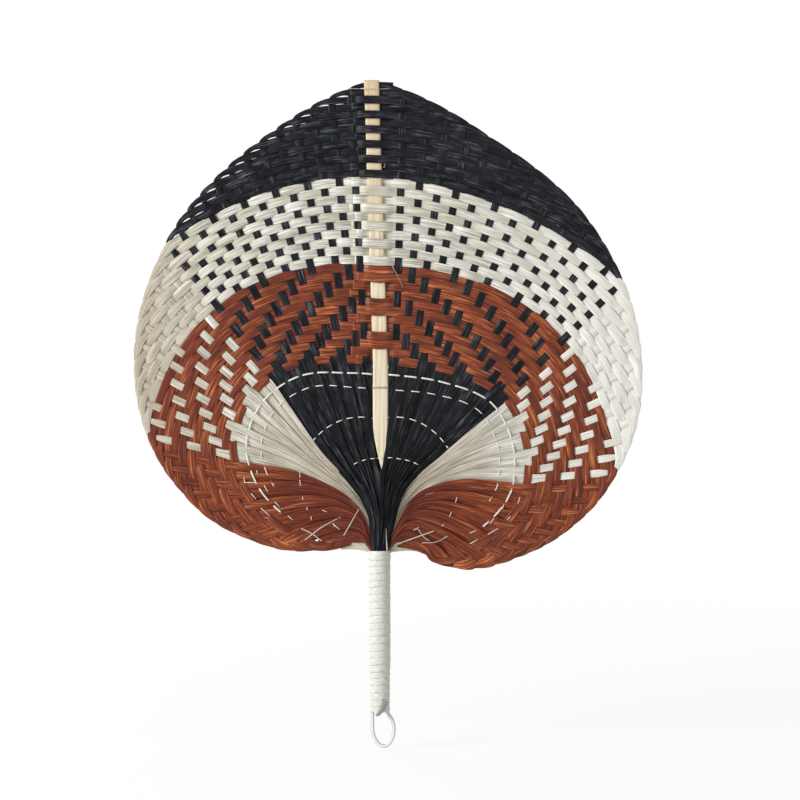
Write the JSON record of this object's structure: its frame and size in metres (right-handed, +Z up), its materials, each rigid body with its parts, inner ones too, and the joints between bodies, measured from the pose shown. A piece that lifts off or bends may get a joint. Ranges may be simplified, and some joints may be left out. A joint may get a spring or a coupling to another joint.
{
  "type": "woven hand fan",
  "caption": "Heart-shaped hand fan woven from flat split strips in three colours round a split-cane spine, with a ribbon-wrapped handle and a swinging cord loop",
  "frame": {"origin": "middle of the grip, on the handle's axis", "axes": "+Z up along the handle to the tip of the blade, -Y out of the face shown in the picture, +X to the viewer's right"},
  "size_m": [0.3026, 0.0128, 0.3927],
  "materials": {
    "black_strip": "satin, dyed split strip",
    "natural_strip": "satin, undyed split strip",
    "rust_strip": "satin, dyed split strip",
    "spine_cane": "smooth split cane with a joint",
    "ribbon": "satin ribbon",
    "thread": "matt twisted thread",
    "cord": "soft twisted cord"
  },
  "bodies": {
    "fan": {"black_strip_01": "black_strip", "black_strip_02": "black_strip", "black_strip_03": "black_strip", "black_strip_04": "black_strip", "black_strip_05": "black_strip", "black_strip_06": "black_strip", "black_strip_07": "black_strip", "black_strip_08": "black_strip", "black_strip_09": "black_strip", "black_strip_10": "black_strip", "black_strip_11": "black_strip", "black_strip_12": "black_strip", "black_strip_13": "black_strip", "handle_ribbon": "ribbon", "natural_strip_14": "natural_strip", "natural_strip_15": "natural_strip", "natural_strip_16": "natural_strip", "natural_strip_17": "natural_strip", "natural_strip_18": "natural_strip", "natural_strip_19": "natural_strip", "natural_strip_20": "natural_strip", "natural_strip_21": "natural_strip", "natural_strip_22": "natural_strip", "natural_strip_23": "natural_strip", "pale_strip_left": "natural_strip", "pale_strip_right": "natural_strip", "rust_strip_24": "rust_strip", "rust_strip_25": "rust_strip", "rust_strip_26": "rust_strip", "rust_strip_27": "rust_strip", "rust_strip_28": "rust_strip", "rust_strip_29": "rust_strip", "rust_strip_30": "rust_strip", "rust_strip_31": "rust_strip", "rust_strip_32": "rust_strip", "rust_strip_33": "rust_strip", "rust_strip_34": "rust_strip", "rust_strip_35": "rust_strip", "spine": "spine_cane", "stitching_thread_1": "thread", "stitching_thread_2": "thread", "stitching_thread_3": "thread"},
    "loop": {"hanging_loop": "cord"}
  },
  "joints": [
    {"name": "loop_swing", "type": "hinge", "parent": "fan", "child": "loop", "pos_m": [0, 0, -0.0485], "axis": [1, 0, 0], "range_deg": [-80, 80]}
  ]
}
